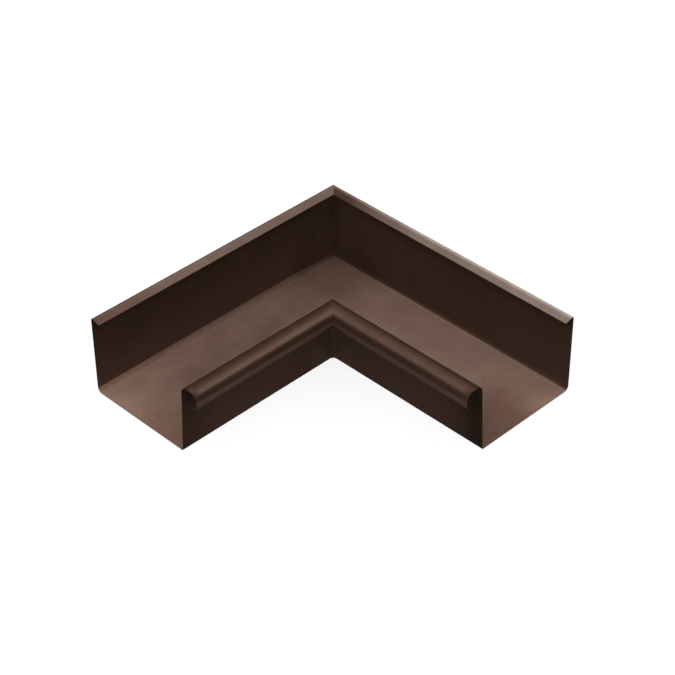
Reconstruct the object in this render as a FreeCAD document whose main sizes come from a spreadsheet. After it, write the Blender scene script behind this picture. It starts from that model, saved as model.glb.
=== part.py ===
"""Internal gutter angle: a rectangular roof gutter turning an inside corner, pressed from one coated sheet.

Frame, in millimetres: +Z is up, and the origin lies on the underside where the two legs' centre lines cross.
One leg runs along +X and the other along +Y. The tall back walls are outside the turn, on the -Y and -X
sides, and the low front walls with their rolled beads are inside it.
"""
import FreeCAD, Part
import math
import os
import Sketcher

# The driving sizes, in millimetres and degrees. Bend radii are those of the sheet's outside.
SIZES = {
    "sheet_thickness": 0.6,
    "gutter_width": 120.0,       # over the back wall and the foot of the front wall
    "leg_length": 310.0,         # along a back wall, from the outer corner to the leg's end
    "back_height": 86.0,         # from the underside to the top of the back wall's fold
    "front_height": 77.0,        # from the underside to the crown of the bead
    "front_lean": 3.0,           # degrees that the front wall leans outwards
    "lip_reach": 11.0,           # the flange on the back wall, inwards from its outer face
    "lip_drop": 2.4,             # from the top of the fold down to the flange's free edge
    "fold_radius": 2.0,          # between back wall and flange
    "back_bend_radius": 5.5,     # between back wall and bottom
    "front_bend_radius": 2.0,    # between bottom and front wall
    "bead_rise_radius": 7.0,     # from the front wall over to the bead's crown
    "bead_crown": 4.0,           # the level strip along the top of the bead
    "bead_nose_radius": 9.5,     # from the crown down to the nose
    "bead_nose": 1.5,            # the upright strip at the front of the bead
    "bead_curl_radius": 10.0,    # of the edge that turns back under the bead
    "bead_curl_angle": 40.0,     # degrees that this edge turns
    "corner_radius": 4.0,        # between the feet of the two front walls, seen from inside the turn
}
SHEET = "sizes"

V = FreeCAD.Vector
UP = V(0, 0, 1)

# How a sketch numbers the ends and centre of a stretch, its own X axis and its origin.
START = 1
END = 2
CENTRE = 3
X_AXIS = -1
ORIGIN = (X_AXIS, START)

doc = FreeCAD.newDocument("gutter_angle")
sizes = doc.addObject("Spreadsheet::Sheet", SHEET)
for row, (alias, value) in enumerate(SIZES.items(), start=1):
    sizes.set(f"A{row}", alias)
    sizes.set(f"B{row}", str(value))
    sizes.setAlias(f"B{row}", alias)
doc.recompute()

# Places that several features share, written as expressions over the sizes.
HALF_WIDTH = f"{SHEET}.gutter_width / 2"
LEG_END = f"({SHEET}.leg_length - {HALF_WIDTH})"
CORNER_CENTRE = f"({HALF_WIDTH} + {SHEET}.corner_radius)"
CORNER_INSET = f"({SHEET}.corner_radius / 2 + 2 * {SHEET}.front_bend_radius)"


def size(expression):
    """The number that an expression over the sizes gives, for a sketch's starting shape."""
    return float(sizes.evalExpression(expression))


def bind(feature, expressions):
    """Ties properties of a feature to expressions over the sizes."""
    for path, expression in expressions.items():
        feature.setExpression(path, expression)


def dimension(sketch, expression, kind, *place):
    """Adds a measured constraint to a sketch and ties it to an expression over the sizes."""
    value = size(expression)
    if kind == "Angle":
        value = math.radians(value)
    index = sketch.addConstraint(Sketcher.Constraint(kind, *place, value))
    sketch.setExpression(f"Constraints[{index}]", expression)


def arc(x, y, radius, start, end):
    """An arc about (x, y), anticlockwise between two directions in radians."""
    return Part.ArcOfCircle(Part.Circle(V(x, y, 0), UP, radius), start, end)


def line(start, end):
    return Part.LineSegment(V(*start, 0), V(*end, 0))


def draw_skin(sketch):
    """The sheet's outer skin across a leg: sketch x runs from the back wall to the front, and sketch y is up.

    It goes from the flange's free edge over the fold, down the back wall, along the bottom, up the front wall
    and over the bead. Past the front wall the outer skin is the hollow side of the bead.
    """
    thick = size(f"{SHEET}.sheet_thickness")
    half = size(HALF_WIDTH)
    top = size(f"{SHEET}.back_height")
    crown_y = size(f"{SHEET}.front_height") - thick
    lean = math.radians(size(f"{SHEET}.front_lean"))
    fold = size(f"{SHEET}.fold_radius")
    back_bend = size(f"{SHEET}.back_bend_radius")
    front_bend = size(f"{SHEET}.front_bend_radius")
    rise = size(f"{SHEET}.bead_rise_radius") - thick
    nose = size(f"{SHEET}.bead_nose_radius") - thick
    curl = size(f"{SHEET}.bead_curl_radius") - thick
    curl_angle = math.radians(size(f"{SHEET}.bead_curl_angle"))

    # The flange's free edge, and where the flange runs into the fold.
    lip_edge = (size(f"{SHEET}.lip_reach") - half, top - size(f"{SHEET}.lip_drop"))
    fold_x = fold - half
    fold_y = top - fold
    lip_x = lip_edge[0] - fold_x
    lip_y = lip_edge[1] - fold_y
    lip_turn = math.atan2(lip_y, lip_x) + math.acos(fold / math.hypot(lip_x, lip_y))
    lip_start = (fold_x + fold * math.cos(lip_turn), fold_y + fold * math.sin(lip_turn))

    # The leaning front wall, from its foot on the bend up to the bead.
    bend_x = half - front_bend * math.cos(lean)
    foot_y = front_bend * (1 - math.sin(lean))
    head_y = crown_y - rise * (1 - math.sin(lean))
    head_x = half + (head_y - foot_y) * math.tan(lean)

    # The bead, from its crown to its nose.
    crown_start = head_x + rise * math.cos(lean)
    crown_end = crown_start + size(f"{SHEET}.bead_crown")
    nose_x = crown_end + nose
    nose_top = crown_y - nose
    nose_bottom = nose_top - size(f"{SHEET}.bead_nose")

    half_turn = math.pi
    quarter_turn = math.pi / 2
    chain = sketch.addGeometry([
        line(lip_edge, lip_start),
        arc(fold_x, fold_y, fold, lip_turn, half_turn),
        line((-half, fold_y), (-half, back_bend)),
        arc(back_bend - half, back_bend, back_bend, half_turn, half_turn + quarter_turn),
        line((back_bend - half, 0), (bend_x, 0)),
        arc(bend_x, front_bend, front_bend, -quarter_turn, -lean),
        line((half, foot_y), (head_x, head_y)),
        arc(crown_start, crown_y - rise, rise, quarter_turn, half_turn - lean),
        line((crown_start, crown_y), (crown_end, crown_y)),
        arc(crown_end, nose_top, nose, 0, quarter_turn),
        line((nose_x, nose_top), (nose_x, nose_bottom)),
        arc(nose_x - curl, nose_bottom, curl, -curl_angle, 0),
    ])
    lip, fold_arc, back, back_arc, bottom, front_arc = chain[:6]
    front, rise_arc, crown, nose_arc, upright, curl_arc = chain[6:]

    # The skin runs smoothly from each stretch to the next. The bead's arcs turn the other way round.
    bead_arcs = (rise_arc, nose_arc, curl_arc)
    for before, after in zip(chain, chain[1:]):
        leaves = START if before in bead_arcs else END
        enters = END if after in bead_arcs else START
        sketch.addConstraint(Sketcher.Constraint("Tangent", before, leaves, after, enters))
    for level in (bottom, crown):
        sketch.addConstraint(Sketcher.Constraint("Horizontal", level))
    for plumb in (back, upright):
        sketch.addConstraint(Sketcher.Constraint("Vertical", plumb))

    sketch.addConstraint(Sketcher.Constraint("PointOnObject", bottom, START, X_AXIS))
    dimension(sketch, HALF_WIDTH, "DistanceX", back, START, *ORIGIN)
    dimension(sketch, HALF_WIDTH, "DistanceX", *ORIGIN, front, START)
    dimension(sketch, f"(90 - {SHEET}.front_lean) * 1 deg", "Angle", front)
    dimension(sketch, f"{SHEET}.fold_radius", "Radius", fold_arc)
    dimension(sketch, f"{SHEET}.back_height - {SHEET}.fold_radius", "DistanceY", *ORIGIN, fold_arc, CENTRE)
    dimension(sketch, f"{SHEET}.lip_reach", "DistanceX", back, START, lip, START)
    dimension(sketch, f"{SHEET}.back_height - {SHEET}.lip_drop", "DistanceY", *ORIGIN, lip, START)
    dimension(sketch, f"{SHEET}.back_bend_radius", "Radius", back_arc)
    dimension(sketch, f"{SHEET}.front_bend_radius", "Radius", front_arc)
    dimension(sketch, f"{SHEET}.front_height - {SHEET}.sheet_thickness", "DistanceY", *ORIGIN, crown, START)
    dimension(sketch, f"{SHEET}.bead_rise_radius - {SHEET}.sheet_thickness", "Radius", rise_arc)
    dimension(sketch, f"{SHEET}.bead_crown", "DistanceX", crown, START, crown, END)
    dimension(sketch, f"{SHEET}.bead_nose_radius - {SHEET}.sheet_thickness", "Radius", nose_arc)
    dimension(sketch, f"{SHEET}.bead_nose", "DistanceY", upright, END, upright, START)
    dimension(sketch, f"{SHEET}.bead_curl_radius - {SHEET}.sheet_thickness", "Radius", curl_arc)
    dimension(sketch, f"{SHEET}.bead_curl_angle * 1 deg", "Angle", curl_arc)


def draw_run(sketch):
    """The two legs' centre lines on the underside, from one leg's end round the corner to the other's."""
    end = size(LEG_END)
    first, second = sketch.addGeometry([line((end, 0), (0, 0)), line((0, 0), (0, end))])
    sketch.addConstraint(Sketcher.Constraint("Coincident", first, END, *ORIGIN))
    sketch.addConstraint(Sketcher.Constraint("Coincident", second, START, *ORIGIN))
    sketch.addConstraint(Sketcher.Constraint("Horizontal", first))
    sketch.addConstraint(Sketcher.Constraint("Vertical", second))
    dimension(sketch, LEG_END, "DistanceX", *ORIGIN, first, START)
    dimension(sketch, LEG_END, "DistanceY", *ORIGIN, second, END)


# The section stands across the end of the leg on X. The sheet's thickness goes inwards from its outer skin.
skin = doc.addObject("Sketcher::SketchObject", "skin")
skin.Placement.Rotation = FreeCAD.Rotation(V(0, 1, 0), V(0, 0, 1), V(1, 0, 0), "ZXY")
bind(skin, {"Placement.Base.x": LEG_END})
draw_skin(skin)

section = doc.addObject("Part::Offset2D", "section")
section.Source = skin
section.Mode = "Skin"
section.Fill = True
bind(section, {"Value": f"-{SHEET}.sheet_thickness"})

# Both legs are one sweep of the section, mitred at the corner.
run = doc.addObject("Sketcher::SketchObject", "run")
draw_run(run)
doc.recompute()

legs = doc.addObject("Part::Sweep", "legs")
legs.Sections = [section]
legs.Spine = (run, ["Edge1", "Edge2"])
legs.Transition = "Right corner"
legs.Solid = True

# The front walls meet in a pressed round corner, which runs out towards the bead as the walls lean in on it.
# The mitred sheet is taken out as far as the round reaches, and the same stretch of the section, turned about
# the round's upright axis, takes its place.
corner_room = doc.addObject("Part::Cylinder", "corner_room")
corner_room.Angle = 90
corner_room.Placement.Rotation = FreeCAD.Rotation(UP, 180)
bind(corner_room, {
    "Radius": f"{SHEET}.corner_radius + {CORNER_INSET}",
    "Height": f"{SHEET}.front_height + 2 * {SHEET}.sheet_thickness",
    "Placement.Base.x": CORNER_CENTRE,
    "Placement.Base.y": CORNER_CENTRE,
    "Placement.Base.z": f"-{SHEET}.sheet_thickness",
})

mitred = doc.addObject("Part::Cut", "mitred")
mitred.Base = legs
mitred.Tool = corner_room

front_stretch = doc.addObject("Part::Box", "front_stretch")
bind(front_stretch, {
    "Length": f"2 * {SHEET}.sheet_thickness",
    "Width": f"{SHEET}.corner_radius + {CORNER_INSET}",
    "Height": f"{SHEET}.front_height + 2 * {SHEET}.sheet_thickness",
    "Placement.Base.x": f"{LEG_END} - {SHEET}.sheet_thickness",
    "Placement.Base.y": f"{HALF_WIDTH} - {CORNER_INSET}",
    "Placement.Base.z": f"-{SHEET}.sheet_thickness",
})

front_section = doc.addObject("Part::Common", "front_section")
front_section.Base = section
front_section.Tool = front_stretch

corner = doc.addObject("Part::Revolution", "corner")
corner.Source = front_section
corner.Axis = -UP
corner.Angle = 90
corner.Solid = False
bind(corner, {
    "Base.x": LEG_END,
    "Base.y": CORNER_CENTRE,
    "Placement.Base.x": f"{CORNER_CENTRE} - {LEG_END}",
})

gutter_angle = doc.addObject("Part::MultiFuse", "gutter_angle")
gutter_angle.Label = "gutter_angle"
gutter_angle.Shapes = [mitred, corner]
gutter_angle.Refine = True
doc.recompute()

for item in doc.Objects:
    if "Invalid" in item.State or "Error" in item.State:
        raise RuntimeError(f"{item.Name} failed: {item.State}")
shape = gutter_angle.Shape
if shape.isNull() or not shape.isValid() or len(shape.Solids) != 1:
    raise RuntimeError("gutter_angle is not one valid solid")

os.makedirs("parts", exist_ok=True)
shape.exportStep(f"parts/{gutter_angle.Label}.step")
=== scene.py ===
"""The looks of an internal gutter angle: a sheet of brown coated steel, folded round an inside corner.

Everything is in metres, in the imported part's frame: +Z is up, one leg runs along +X and the other along
+Y, and the origin lies on the underside where the legs' centre lines cross.
"""
import bmesh
import bpy
import math
from mathutils import Matrix, Vector
from types import SimpleNamespace


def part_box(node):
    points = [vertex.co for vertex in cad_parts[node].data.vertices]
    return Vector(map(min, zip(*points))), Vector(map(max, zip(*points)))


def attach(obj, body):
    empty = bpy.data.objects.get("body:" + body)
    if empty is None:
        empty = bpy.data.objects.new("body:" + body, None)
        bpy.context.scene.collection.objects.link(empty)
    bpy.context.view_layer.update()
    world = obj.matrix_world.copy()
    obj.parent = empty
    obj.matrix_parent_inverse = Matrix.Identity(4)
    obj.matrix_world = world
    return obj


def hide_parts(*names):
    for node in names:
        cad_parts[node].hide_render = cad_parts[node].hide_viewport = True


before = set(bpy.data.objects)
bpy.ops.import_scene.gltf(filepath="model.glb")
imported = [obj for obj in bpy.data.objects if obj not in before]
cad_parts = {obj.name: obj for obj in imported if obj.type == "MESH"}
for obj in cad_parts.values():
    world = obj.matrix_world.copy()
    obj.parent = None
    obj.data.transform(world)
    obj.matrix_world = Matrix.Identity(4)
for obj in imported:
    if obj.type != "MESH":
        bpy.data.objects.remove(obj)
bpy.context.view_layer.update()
low_corner, high_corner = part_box("gutter_angle")

MM = 0.001
X_AXIS = Vector((1, 0, 0))
Z_AXIS = Vector((0, 0, 1))
QUARTER_TURN = math.pi / 2
MITRE_TURN = QUARTER_TURN / 2

# The sheet and its section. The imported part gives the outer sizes, and bend radii are the outer skin's.
SHEET_THICKNESS = 0.6 * MM
HALF_WIDTH = -low_corner.y
LEG_END = high_corner.x
BACK_HEIGHT = high_corner.z
FRONT_HEIGHT = 77.0 * MM
FRONT_LEAN = math.radians(3.0)
LIP_REACH = 11.0 * MM
LIP_DROP = 2.4 * MM
LIP_FOOT = BACK_HEIGHT - 2 * LIP_DROP
FOLD_RADIUS = 2.0 * MM
FOLD_BAND = 2.5 * MM
BACK_BEND_RADIUS = 5.5 * MM
FRONT_BEND_RADIUS = 2.0 * MM
BEAD_RISE_RADIUS = 7.0 * MM - SHEET_THICKNESS
BEAD_CROWN = 4.0 * MM
BEAD_NOSE_RADIUS = 9.5 * MM - SHEET_THICKNESS
BEAD_NOSE = 1.5 * MM
BEAD_CURL_RADIUS = 10.0 * MM - SHEET_THICKNESS
BEAD_CURL_ANGLE = math.radians(40.0)
BEAD_FOOT = FRONT_HEIGHT - 2 * BEAD_CURL_RADIUS
CORNER_RADIUS = 4.0 * MM
CORNER_CENTRE = HALF_WIDTH + CORNER_RADIUS
CORNER_INSET = HALF_WIDTH - CORNER_RADIUS / 2 - 2 * FRONT_BEND_RADIUS

# How finely the sheet is divided, how near points have to be to become one, past which angle an edge looks
# sharp, and how far into a face its corners take their tones, as a share of the way to its centre.
STRAIGHT_PART = 9.0 * MM
BEND_STEP = math.radians(7.5)
CORNER_STEPS = 8
WELD = 0.001 * MM
SHARP_EDGE = math.radians(30)
INSIDE_FACE = 0.001

# Painted light and shade in the coating's colour, from deep painted shade at 0 to full painted light at 1.
# The trough's bottom and the lips are painted light, the bottom more towards its ends, and the walls much
# less. The fold is painted shade, the back wall has painted light by the back corner, and the front wall's
# round corner painted shade. The bead has a painted highlight along its crest and a painted reflection
# along its lower edge, and its hollow is painted shade but for its mouth.
PAINTED_LIGHT_BOTTOM_CORNER = 0.69
PAINTED_LIGHT_BOTTOM_END = 0.93
PAINTED_LIGHT_LIP = 0.30
PAINTED_SHADE_FOLD = 0.03
TONE_BACK_WALL = 0.125
PAINTED_LIGHT_BACK_CORNER = 0.05
TONE_FRONT_WALL = 0.115
PAINTED_SHADE_ROUND_CORNER = 0.090
PAINTED_LIGHT_HOLLOW_MOUTH = 0.035
PAINTED_REFLECTION_EDGE = 0.24

# Stretches over which a tone changes: where the change starts and where it is full. First those that
# lie along a leg.
LIP_CORNER = (-30 * MM, 10 * MM)
LIP_FOLD = (-HALF_WIDTH, 60 * MM)
BACK_CORNER = (-20 * MM, -50 * MM)
FRONT_CORNER = (CORNER_CENTRE + 30 * MM, CORNER_CENTRE + 8 * MM)
FRONT_WALL_END = (LEG_END - 50 * MM, LEG_END - 10 * MM)
HOLLOW_END = (LEG_END - 2 * BEAD_CURL_RADIUS, LEG_END)
BOTTOM_LENGTH = (-HALF_WIDTH, LEG_END)
LIGHT_CLIMB = (-HALF_WIDTH, 0)
# Then those measured from the mitre along a leg.
LIGHT_GAIN_OFF_MITRE = (0, 50 * MM)
SHADE_OFF_MITRE = (20 * MM, 70 * MM)
# Then heights.
BACK_WALL_RISE = (15 * MM, 45 * MM)
BACK_BEND_START = (SHEET_THICKNESS, 1.2 * MM)
BACK_BEND_RISE = (1.5 * MM, 4.2 * MM)
UNDER_BEAD = (BEAD_FOOT, BEAD_FOOT - 8 * MM)
# Then what lies across a leg: where the bead's painted highlight comes in, and how wide the lip's painted
# light fades out.
HIGHLIGHT_SIDE = (HALF_WIDTH + 9.5 * MM, HALF_WIDTH + 13.5 * MM)
LIP_LIGHT_FADE = 0.3 * FOLD_RADIUS


def from_degrees(*angles):
    return tuple(math.radians(angle) for angle in angles)


# The bead's painted bands, a highlight and a reflection, go by how far the surface leans from level: where
# a band begins, is full, is full to, and ends.
REFLECTION_LEANS = from_degrees(76, 90, 102, 122)

# What differs between the legs. The painted light's gain and the painted shade beside the front wall are
# on the bottom, and the painted light's top, full height and dimming, from foot to head, on the back bend.
# The back wall's top, the front wall's end and the bead are painted shade, the front wall by the round
# corner and the lips painted light, and the bead has a painted highlight along its crest. A lip's painted
# highlights are pairs of a strength and the stretch over which it comes in, and those beside the fold are
# given at the corner and further on.
LEG_ON_X = SimpleNamespace(
    lip_light_at_corner=PAINTED_LIGHT_LIP,
    lip_light_edge=0.95 * FOLD_RADIUS,
    shaded_back_wall_top=0.058,
    bottom_light_gain=0.15,
    light_gain_along=(190 * MM, LEG_END),
    front_wall_shade=0.42,
    front_shade_along=(-HALF_WIDTH, -20 * MM),
    front_shade_across=(-35 * MM, 15 * MM),
    bottom_light_top=5.5 * MM,
    bottom_light_full=4.2 * MM,
    bend_dimming=(0.54, 0.34),
    shaded_front_wall_end=0.056,
    front_corner_light=0.09,
    shaded_bead=0.048,
    highlight_on_ridge=0.33,
    highlight_leans=from_degrees(-6, 26, 38, 52),
    lip_highlights=((0.14, (LEG_END, 150 * MM)),),
    fold_highlight=(0.04, 0.04))
LEG_ON_Y = SimpleNamespace(
    lip_light_at_corner=0.13,
    lip_light_edge=0.5 * FOLD_RADIUS,
    shaded_back_wall_top=0.095,
    bottom_light_gain=0.14,
    light_gain_along=(220 * MM, 170 * MM),
    front_wall_shade=0.52,
    front_shade_along=(180 * MM, 215 * MM),
    front_shade_across=(-28 * MM, 2 * MM),
    bottom_light_top=1.62 * MM,
    bottom_light_full=1.2 * MM,
    bend_dimming=(0.28, 0.28),
    shaded_front_wall_end=0.026,
    front_corner_light=0.12,
    shaded_bead=0.055,
    highlight_on_ridge=0.26,
    highlight_leans=from_degrees(-14, 16, 36, 50),
    lip_highlights=((0.21, (-30 * MM, 50 * MM)), (0.14, (100 * MM, 210 * MM))),
    fold_highlight=(0.22, 0.58))

# At the corner the painted light's rim lies on both legs as it does all along the leg on Y.
CORNER_LIGHT_TOP = LEG_ON_Y.bottom_light_top
CORNER_LIGHT_FULL = LEG_ON_Y.bottom_light_full

# The coating. Its colours go from deep painted shade to full painted light, and those between stand with
# their share of painted light. The grey over them on the lips is a painted highlight.
COAT_DEEP_SHADE = (0.008, 0.005, 0.004, 1)
COAT_BETWEEN = ((0.06, (0.0500, 0.0275, 0.0195, 1)), (0.5, (0.187, 0.108, 0.079, 1)))
COAT_FULL_LIGHT = (0.340, 0.215, 0.165, 1)
COAT_HIGHLIGHT_GREY = (0.48, 0.395, 0.345, 1)
COAT_METALLIC = 0.11
COAT_SHEEN_TINT = (0.90, 0.84, 0.78, 1)
COAT_ROUGHNESS = (0.28, 0.42)
GRAIN = {"Scale": 480.0, "Detail": 3.0}
GRAIN_CONTRAST = (0.72, 1.28)
GRAIN_BUMP = {"Strength": 0.15, "Distance": 0.05 * MM}
# Soft clouds break up the painted light and shade and the painted highlight, and vary the roughness.
CLOUDS = {"Scale": 28.0, "Detail": 4.0, "Roughness": 0.6}
CLOUD_VALUES = (0.3, 0.7)
LIGHT_PATCH_CONTRAST = (0.88, 1.12)
HIGHLIGHT_STREAK_CONTRAST = (0.75, 1.25)

# The studio. The camera sees the floor's glow, and its paint adds the lamps' light and the shadow.
FLOOR_SIZE = 6.0
FLOOR_GLOW = (0.87, 0.87, 0.87, 1)
FLOOR_PAINT = (0.22, 0.22, 0.22, 1)
WALL_COLOUR = (1, 1, 1, 1)
WALL_LIGHT = 0.2
WALL_WHITE = 1.0
LAMP_AIM = Vector((90.0, 90.0, 30.0)) * MM

# The camera, as the photograph shows the fitting: how far it looks down, its turn, tilt and distance,
# how far the view's middle lies from the origin, and its focal length in the frame's pixels.
LOOK_DOWN = math.radians(37.785)
LOOK_TURN = math.radians(45.486)
LOOK_TILT = math.radians(-0.518)
LOOK_DISTANCE = 1987.72 * MM
LOOK_RIGHT = 3.789 * MM
LOOK_UP = -32.761 * MM
FRAME_PIXELS = 675
FOCAL_PIXELS = 2015.73
SENSOR_WIDTH = 36.0


def fade(value, start, full):
    """Goes from 0 at the start to 1 where it is full, and stays there."""
    return min(1.0, max(0.0, (value - start) / (full - start)))


def blend(start, end, share):
    return start + (end - start) * share


def direction(rise, turn):
    """The way that points up by one angle, and round from +X towards +Y by the other."""
    return Vector((math.cos(rise) * math.cos(turn), math.cos(rise) * math.sin(turn), math.sin(rise)))


def add_object(name, data):
    made = bpy.data.objects.new(name, data)
    bpy.context.scene.collection.objects.link(made)
    return made


def add_mesh_object(name, bm):
    """Turns a finished bmesh into an object of the scene."""
    mesh = bpy.data.meshes.new(name)
    bm.to_mesh(mesh)
    bm.free()
    return add_object(name, mesh)


class Pen:
    """Draws a folded strip's edge in an upright plane across X, one straight stretch or bend at a time."""

    def __init__(self, bm, start, heading):
        self.bm = bm
        self.tip = bm.verts.new(start)
        self.heading = heading.normalized()

    def straight(self, length):
        """Goes straight on, in parts of about the usual size."""
        parts = max(1, round(length / STRAIGHT_PART))
        for _ in range(parts):
            self.tip = bmesh.ops.extrude_vert_indiv(self.bm, verts=[self.tip])["verts"][0]
            bmesh.ops.translate(self.bm, verts=[self.tip], vec=self.heading * (length / parts))

    def bend(self, radius, turn):
        """Turns to the left by an angle, or to the right by a negative one."""
        to_centre = X_AXIS.cross(self.heading) * math.copysign(radius, turn)
        made = bmesh.ops.spin(
            self.bm, geom=[self.tip], cent=self.tip.co + to_centre, axis=X_AXIS, angle=turn,
            steps=max(1, math.ceil(abs(turn) / BEND_STEP)))
        self.tip = next(item for item in made["geom_last"] if isinstance(item, bmesh.types.BMVert))
        self.heading = Matrix.Rotation(turn, 3, X_AXIS) @ self.heading


def draw_section(bm):
    """The outer skin across the end of the leg on X, from the lip's free edge to the bead's."""
    # The lip slopes from the fold down to its free edge.
    lip_edge = Vector((LEG_END, LIP_REACH - HALF_WIDTH, BACK_HEIGHT - LIP_DROP))
    fold_centre = Vector((LEG_END, FOLD_RADIUS - HALF_WIDTH, BACK_HEIGHT - FOLD_RADIUS))
    reach = lip_edge - fold_centre
    lip_length = math.sqrt(reach.length_squared - FOLD_RADIUS ** 2)
    lip_slope = math.acos(FOLD_RADIUS / reach.length) + math.atan2(reach.z, reach.y) - QUARTER_TURN
    heading = Vector((0, -math.cos(lip_slope), -math.sin(lip_slope)))

    pen = Pen(bm, lip_edge, heading)
    pen.straight(lip_length - FOLD_BAND)
    pen.straight(FOLD_BAND)
    pen.bend(FOLD_RADIUS, QUARTER_TURN - lip_slope)
    pen.straight(BACK_HEIGHT - FOLD_RADIUS - BACK_BEND_RADIUS)
    pen.bend(BACK_BEND_RADIUS, QUARTER_TURN)
    pen.straight(CORNER_INSET + HALF_WIDTH - BACK_BEND_RADIUS)
    pen.straight(HALF_WIDTH - FRONT_BEND_RADIUS * math.cos(FRONT_LEAN) - CORNER_INSET)
    pen.bend(FRONT_BEND_RADIUS, QUARTER_TURN - FRONT_LEAN)

    wall_head = FRONT_HEIGHT - SHEET_THICKNESS - BEAD_RISE_RADIUS * (1 - math.sin(FRONT_LEAN))
    pen.straight((wall_head - pen.tip.co.z) / math.cos(FRONT_LEAN))

    # The bead's rise is drawn in two bends that part above the axis of the round corner.
    rise_centre = pen.tip.co.y + BEAD_RISE_RADIUS * math.cos(FRONT_LEAN)
    over_corner = math.acos((rise_centre - CORNER_CENTRE) / BEAD_RISE_RADIUS)
    pen.bend(BEAD_RISE_RADIUS, FRONT_LEAN - over_corner)
    pen.bend(BEAD_RISE_RADIUS, over_corner - QUARTER_TURN)
    pen.straight(BEAD_CROWN)
    pen.bend(BEAD_NOSE_RADIUS, -QUARTER_TURN)
    pen.straight(BEAD_NOSE)
    pen.bend(BEAD_CURL_RADIUS, -BEAD_CURL_ANGLE)


def draw_out(bm, edges, length):
    """Draws edges out along the leg towards the corner, and returns the edges at the far end."""
    parts = max(1, round(length / STRAIGHT_PART))
    for _ in range(parts):
        made = bmesh.ops.extrude_edge_only(bm, edges=edges)["geom"]
        moved = [v for v in made if isinstance(v, bmesh.types.BMVert)]
        bmesh.ops.translate(bm, verts=moved, vec=-X_AXIS * (length / parts))
        edges = [e for e in made if isinstance(e, bmesh.types.BMEdge) and not e.is_wire
                 and abs(e.verts[0].co.x - e.verts[1].co.x) < WELD]
    return edges


def everything(bm):
    return bm.verts[:] + bm.edges[:] + bm.faces[:]


def middle(edge):
    return (edge.verts[0].co + edge.verts[1].co) / 2


def leg_skin(bm):
    """The outer skin of the leg on X, as far as the mitre in the upright plane where x equals y."""
    draw_section(bm)
    edges = draw_out(bm, bm.edges[:], LEG_END - CORNER_CENTRE)

    # The lip, back wall and bottom run on to the mitre, which cuts the bead too. The foot of the front
    # wall turns about the corner's axis.
    trough = [e for e in edges if middle(e).y < CORNER_INSET]
    foot = [e for e in edges if CORNER_INSET < middle(e).y < CORNER_CENTRE]
    draw_out(bm, trough, CORNER_CENTRE + HALF_WIDTH)
    bmesh.ops.bisect_plane(
        bm, geom=everything(bm), dist=WELD, plane_co=(0, 0, 0), plane_no=(1, -1, 0), clear_inner=True)
    bmesh.ops.spin(
        bm, geom=foot, cent=(CORNER_CENTRE, CORNER_CENTRE, 0), axis=Z_AXIS, angle=-MITRE_TURN,
        steps=CORNER_STEPS)
    bmesh.ops.remove_doubles(bm, verts=bm.verts[:], dist=WELD)


def is_over_turn(edge):
    """True for the rim of the small level gap that the round corner leaves in the bottom."""
    return edge.is_boundary and all(
        v.co.z < WELD and max(v.co.x, v.co.y) < CORNER_CENTRE + WELD for v in edge.verts)


class Spot:
    """A place on the sheet: which leg it is on, where it lies there and which way it faces."""

    def __init__(self, place, normal):
        on_x = place.x > place.y
        self.leg = LEG_ON_X if on_x else LEG_ON_Y
        self.along = max(place.x, place.y)
        self.across = min(place.x, place.y)
        self.off_mitre = self.along - self.across
        self.off_axis = math.hypot(CORNER_CENTRE - self.along, CORNER_CENTRE - self.across)
        self.height = place.z
        self.normal = normal
        self.upward = normal.z
        self.outward = normal.y if on_x else normal.x

    def is_on_lip(self):
        """True for the upper side of a lip and of its fold."""
        return self.across < HALF_WIDTH and self.height > LIP_FOOT and self.upward > 0

    def is_in_trough(self):
        """True for the back wall and the bottom, as far as the front wall's bend and round the corner."""
        foot = self.across
        if self.across > CORNER_INSET and self.along < CORNER_CENTRE:
            foot = CORNER_CENTRE - self.off_axis
        return foot < HALF_WIDTH - FRONT_BEND_RADIUS / 2

    def is_on_front_wall(self):
        """True for the front wall's outer side below the bead, and for its inner side up to the bead."""
        inside = self.outward < 0 and self.across < HALF_WIDTH + BEAD_CROWN
        return inside or self.height < BEAD_FOOT

    def is_on_crown(self):
        """True for the bead's rise and crown, and false for its nose."""
        return self.across < HALF_WIDTH + BEAD_RISE_RADIUS + 2 * BEAD_CROWN


def band_strength(lean, leans):
    """How far a painted band has its full strength where the surface leans by an angle."""
    start, full, full_to, end = leans
    return min(fade(lean, start, full), fade(lean, end, full_to))


def lip_light_share(spot):
    """1 on the upper side of a lip, and less down its fold."""
    light_edge = spot.leg.lip_light_edge
    return fade(spot.across + HALF_WIDTH, light_edge, light_edge + LIP_LIGHT_FADE)


def painted_lip_light(spot):
    """The painted light on a lip, dull at the corner of one leg, which gives way to painted shade on the
    fold.
    """
    light_tone = blend(spot.leg.lip_light_at_corner, PAINTED_LIGHT_LIP, fade(spot.along, *LIP_CORNER))
    return blend(PAINTED_SHADE_FOLD, light_tone, lip_light_share(spot))


def painted_bottom_light(spot):
    """The painted light on the bottom: stronger towards the ends, and dimmed by painted shade beside the
    front walls.
    """
    leg = spot.leg
    light_tone = blend(PAINTED_LIGHT_BOTTOM_CORNER, PAINTED_LIGHT_BOTTOM_END, fade(spot.along, *BOTTOM_LENGTH))
    light_tone += leg.bottom_light_gain * fade(spot.off_mitre, *LIGHT_GAIN_OFF_MITRE) * fade(spot.along, *leg.light_gain_along)
    # Painted shade dims the bottom's painted light beside the front wall.
    front_shade = leg.front_wall_shade * fade(spot.off_mitre, *SHADE_OFF_MITRE) * fade(spot.along, *leg.front_shade_along)
    return light_tone * (1 - front_shade * fade(spot.across, *leg.front_shade_across))


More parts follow.
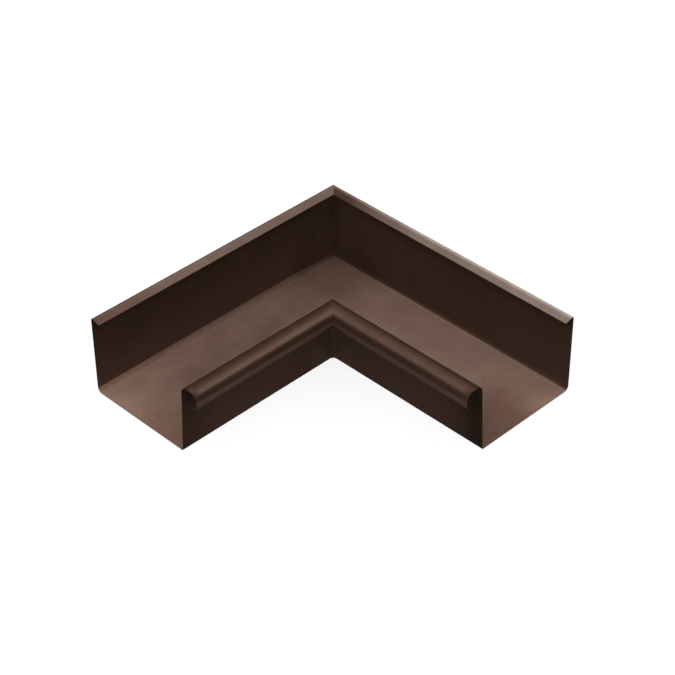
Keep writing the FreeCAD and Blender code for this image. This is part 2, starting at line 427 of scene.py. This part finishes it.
def painted_trough_light(spot):
    """The back wall, and the bottom's painted light, which dims up the back bend."""
    leg = spot.leg
    # The back wall carries painted shade towards its top, and painted light by the back corner.
    wall = blend(TONE_BACK_WALL, leg.shaded_back_wall_top, fade(spot.height, *BACK_WALL_RISE))
    wall += PAINTED_LIGHT_BACK_CORNER * fade(spot.along, *BACK_CORNER)
    if spot.upward <= 0:
        return wall
    climb = fade(spot.along, *LIGHT_CLIMB)
    bottom_light_top = blend(CORNER_LIGHT_TOP, leg.bottom_light_top, climb)
    bottom_light_full = blend(CORNER_LIGHT_FULL, leg.bottom_light_full, climb)
    bend_dimming = blend(*leg.bend_dimming, fade(spot.height, *BACK_BEND_RISE))
    bend_dimming *= fade(spot.height, *BACK_BEND_START)
    light_tone = painted_bottom_light(spot) * (1 - bend_dimming)
    return blend(wall, light_tone, fade(spot.height, bottom_light_top, bottom_light_full))


def painted_hollow_shade(spot):
    """Inside the bead, painted dark as shade but for its mouth at the end of the leg."""
    return PAINTED_LIGHT_HOLLOW_MOUTH * fade(spot.along, *HOLLOW_END)


def painted_front_wall_tone(spot):
    """The front wall: painted shade at its end, and outside painted light by the round corner, shade under
    the bead.
    """
    leg = spot.leg
    wall = blend(TONE_FRONT_WALL, leg.shaded_front_wall_end, fade(spot.along, *FRONT_WALL_END))
    if spot.outward < 0:
        return wall
    wall += leg.front_corner_light * fade(spot.along, *FRONT_CORNER)
    # The round corner itself is painted darker than the wall beside it, as painted shade against its
    # reflected light.
    if spot.along < CORNER_CENTRE - WELD:
        wall = blend(PAINTED_SHADE_ROUND_CORNER, wall, spot.off_mitre / spot.off_axis)
    # Under the bead the outside takes the hollow's painted shade.
    return blend(painted_hollow_shade(spot), wall, fade(spot.height, *UNDER_BEAD))


def painted_bead_tone(spot):
    """The bead in painted shade, with its painted highlight and painted reflection, and its hollow."""
    leg = spot.leg
    on_crown = spot.is_on_crown()
    if (spot.upward if on_crown else spot.outward) < 0:
        return painted_hollow_shade(spot)
    lean = Z_AXIS.angle(spot.normal)
    # A painted highlight along the bead's crest.
    ridge_highlight = (leg.highlight_on_ridge - leg.shaded_bead) * fade(spot.across, *HIGHLIGHT_SIDE)
    ridge_highlight *= band_strength(lean, leg.highlight_leans)
    # A painted reflection along the nose's lower edge.
    edge = 0.0 if on_crown else (PAINTED_REFLECTION_EDGE - leg.shaded_bead) * band_strength(lean, REFLECTION_LEANS)
    return leg.shaded_bead + ridge_highlight + edge


def painted_light_and_shade(spot):
    """The painted light and shade in the coating's colour, from 0 for deep shade to 1 for full light."""
    if spot.is_on_lip():
        return painted_lip_light(spot)
    if spot.is_in_trough():
        return painted_trough_light(spot)
    if spot.is_on_front_wall():
        return painted_front_wall_tone(spot)
    return painted_bead_tone(spot)


def highlight_strength(spot):
    """How strong the painted grey highlight is: on the lips alone, and more beside the fold."""
    if not spot.is_on_lip():
        return 0.0
    lip_highlight = sum(strength * fade(spot.along, *stretch) for strength, stretch in spot.leg.lip_highlights)
    # Beside the fold the painted highlight is stronger.
    if spot.across < FOLD_RADIUS + FOLD_BAND / 2 - HALF_WIDTH:
        lip_highlight += blend(*spot.leg.fold_highlight, fade(spot.along, *LIP_FOLD))
    return lip_highlight * lip_light_share(spot)


def lay_tones(bm):
    """Keeps at each face's corners its painted light and shade, and its painted highlight.

    A corner takes its tones a hair inside its face, so that each leg keeps its own up to the mitre.
    """
    painted_light_shade = bm.loops.layers.float.new("painted_light_shade")
    painted_highlight = bm.loops.layers.float.new("painted_highlight")
    for face in bm.faces:
        centre = face.calc_center_median()
        for corner in face.loops:
            spot = Spot(corner.vert.co.lerp(centre, INSIDE_FACE), corner.vert.normal)
            corner[painted_light_shade] = painted_light_and_shade(spot)
            corner[painted_highlight] = highlight_strength(spot)


def gutter_angle():
    """The whole fitting: two legs that mirror each other in the mitre, thickened to the sheet."""
    bm = bmesh.new()
    leg_skin(bm)
    mitre = Matrix.Rotation(MITRE_TURN, 4, "Z")
    bmesh.ops.mirror(bm, geom=everything(bm), matrix=mitre, merge_dist=WELD, axis="X")
    bmesh.ops.remove_doubles(bm, verts=bm.verts[:], dist=WELD)
    bmesh.ops.edgeloop_fill(bm, edges=[e for e in bm.edges if is_over_turn(e)])

    # The skin faces outwards, which is down at the bottom, before the sheet is thickened inwards from it.
    bmesh.ops.recalc_face_normals(bm, faces=bm.faces[:])
    lowest = min(bm.faces, key=lambda face: face.calc_center_median().z)
    if lowest.normal.z > 0:
        bmesh.ops.reverse_faces(bm, faces=bm.faces[:])
    bmesh.ops.solidify(bm, geom=bm.faces[:], thickness=SHEET_THICKNESS)
    bm.normal_update()
    lay_tones(bm)

    for face in bm.faces:
        face.smooth = True
    piece = add_mesh_object("coated_sheet", bm)
    piece.data.set_sharp_from_angle(angle=SHARP_EDGE)
    return piece


class Finish:
    """Builds the nodes of a material, or of the world, with short calls."""

    def __init__(self, owner):
        owner.use_nodes = True
        self.owner = owner
        self.tree = owner.node_tree
        self.tree.nodes.clear()

    def node(self, kind, **values):
        """Adds a node. Values that name a property are set on it, and the rest go to its inputs."""
        made = self.tree.nodes.new(kind)
        for key, value in values.items():
            if hasattr(made, key):
                setattr(made, key, value)
            else:
                made.inputs[key].default_value = value
        return made

    def link(self, source, target):
        self.tree.links.new(source, target)

    def noise(self, place, settings):
        made = self.node("ShaderNodeTexNoise", **settings)
        self.link(place, made.inputs["Vector"])
        return made.outputs["Fac"]

    def kept_tone(self, name):
        """A tone that the sheet keeps at the corners of its faces."""
        return self.node("ShaderNodeAttribute", attribute_name=name).outputs["Fac"]

    def spread(self, value, wanted, given=(0.0, 1.0)):
        """Stretches a value from the range in which it is given to the one that is wanted."""
        limits = dict(zip(("From Min", "From Max", "To Min", "To Max"), given + wanted))
        made = self.node("ShaderNodeMapRange", **limits)
        self.link(value, made.inputs["Value"])
        return made.outputs["Result"]

    def combine(self, operation, first, second, **settings):
        made = self.node("ShaderNodeMath", operation=operation, **settings)
        self.link(first, made.inputs[0])
        self.link(second, made.inputs[1])
        return made.outputs["Value"]

    def seen(self):
        """1 for what is seen, also in a reflection or through glass, and 0 for light on other things."""
        rays = self.node("ShaderNodeLightPath").outputs
        mirrored = self.combine("ADD", rays["Is Camera Ray"], rays["Is Glossy Ray"], use_clamp=True)
        return self.combine("ADD", mirrored, rays["Is Transmission Ray"], use_clamp=True)

    def done(self, surface, output="ShaderNodeOutputMaterial"):
        """Links the finished surface to the output, and returns what has this finish."""
        self.link(surface, self.node(output).inputs["Surface"])
        return self.owner


def coated_steel():
    """Satin chocolate-brown coating with a fine grain, with painted light and shade and a painted grey
    highlight on the lips.
    """
    finish = Finish(bpy.data.materials.new("coated_steel"))
    place = finish.node("ShaderNodeTexCoord").outputs["Object"]
    grain = finish.noise(place, GRAIN)
    clouds = finish.noise(place, CLOUDS)

    # The painted light and shade lie in soft clouds, and the grain breaks them up.
    patches = finish.spread(clouds, LIGHT_PATCH_CONTRAST, CLOUD_VALUES)
    patched_light = finish.combine("MULTIPLY", finish.kept_tone("painted_light_shade"), patches)
    tone = finish.combine("MULTIPLY", patched_light, finish.spread(grain, GRAIN_CONTRAST))
    shade = finish.node("ShaderNodeValToRGB")
    stops = shade.color_ramp.elements
    stops[0].color = COAT_DEEP_SHADE
    stops[1].color = COAT_FULL_LIGHT
    for share, colour in COAT_BETWEEN:
        stops.new(share).color = colour
    finish.link(tone, shade.inputs["Fac"])

    # A painted highlight lays a greyer tone over it on the lips.
    highlights = finish.node("ShaderNodeMix", data_type="RGBA")
    amount, under, over = (socket for socket in highlights.inputs if socket.enabled)
    highlighted_colour = next(socket for socket in highlights.outputs if socket.enabled)
    highlight_streaks = finish.spread(clouds, HIGHLIGHT_STREAK_CONTRAST, CLOUD_VALUES)
    finish.link(finish.combine("MULTIPLY", finish.kept_tone("painted_highlight"), highlight_streaks), amount)
    finish.link(shade.outputs["Color"], under)
    over.default_value = COAT_HIGHLIGHT_GREY

    bump = finish.node("ShaderNodeBump", **GRAIN_BUMP)
    finish.link(grain, bump.inputs["Height"])
    coat = finish.node("ShaderNodeBsdfPrincipled", Metallic=COAT_METALLIC)
    coat.inputs["Specular IOR Level"].default_value = 0.0
    coat.inputs["Specular Tint"].default_value = COAT_SHEEN_TINT
    finish.link(highlighted_colour, coat.inputs["Base Color"])
    finish.link(finish.spread(clouds, COAT_ROUGHNESS), coat.inputs["Roughness"])
    finish.link(bump.outputs["Normal"], coat.inputs["Normal"])
    return finish.done(coat.outputs["BSDF"])


def pale_floor():
    """White to look at, with the fitting's shadow."""
    finish = Finish(bpy.data.materials.new("pale_floor"))
    glow = finish.node("ShaderNodeEmission", Color=FLOOR_GLOW)
    finish.link(finish.seen(), glow.inputs["Strength"])
    paint = finish.node("ShaderNodeBsdfDiffuse", Color=FLOOR_PAINT)
    both = finish.node("ShaderNodeAddShader")
    finish.link(glow.outputs["Emission"], both.inputs[0])
    finish.link(paint.outputs["BSDF"], both.inputs[1])
    return finish.done(both.outputs["Shader"])


def floor():
    """A plain pale floor."""
    bm = bmesh.new()
    bmesh.ops.create_grid(bm, x_segments=1, y_segments=1, size=FLOOR_SIZE)
    ground = add_mesh_object("floor", bm)
    ground.data.materials.append(pale_floor())
    return ground


def walls():
    """The room's walls: white to look at, and a dim light on the fitting."""
    finish = Finish(bpy.data.worlds.new("studio"))
    white = finish.node("ShaderNodeBackground", Color=WALL_COLOUR)
    finish.link(finish.spread(finish.seen(), (WALL_LIGHT, WALL_WHITE)), white.inputs["Strength"])
    return finish.done(white.outputs["Background"], "ShaderNodeOutputWorld")


def softbox(name, height, side, distance, size, power):
    """A square soft light turned to the fitting. Its height and side of the camera are in degrees."""
    lamp = bpy.data.lights.new(name, "AREA")
    lamp.size = size
    lamp.energy = power
    away = direction(math.radians(height), LOOK_TURN + math.radians(side))
    holder = add_object(name, lamp)
    holder.location = LAMP_AIM + away * distance
    holder.rotation_mode = "QUATERNION"
    holder.rotation_quaternion = away.to_track_quat("Z", "Y")


def studio():
    """White walls, and soft lamps in front, on both sides and behind."""
    scene = bpy.context.scene
    scene.view_settings.view_transform = "Standard"
    scene.world = walls()
    softbox("front", height=24, side=0, distance=2.4, size=0.9, power=14.0)
    for name, height, side, power in (("front", 58, 45, 5.5), ("side", 48, 104, 6.0)):
        softbox(name + "_left", height, -side, distance=1.8, size=0.7, power=power)
        softbox(name + "_right", height, side, distance=1.8, size=0.7, power=power)
    softbox("behind", height=52, side=180, distance=2.0, size=0.5, power=3.0)


def camera():
    """The camera where the photograph was taken from."""
    back = direction(LOOK_DOWN, LOOK_TURN)
    tilt = Matrix.Rotation(LOOK_TILT, 3, back)
    right = tilt @ Z_AXIS.cross(back).normalized()
    up = back.cross(right)
    lens = bpy.data.cameras.new("camera")
    lens.sensor_width = SENSOR_WIDTH
    lens.lens = SENSOR_WIDTH * FOCAL_PIXELS / FRAME_PIXELS
    holder = add_object("camera", lens)
    turned = Matrix((right, up, back)).transposed().to_4x4()
    moved = Matrix.Translation(back * LOOK_DISTANCE + right * LOOK_RIGHT + up * LOOK_UP)
    holder.matrix_world = moved @ turned
    bpy.context.scene.camera = holder


sheet = gutter_angle()
sheet.data.materials.append(coated_steel())
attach(sheet, "root")
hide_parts("gutter_angle")

floor()
studio()
camera()
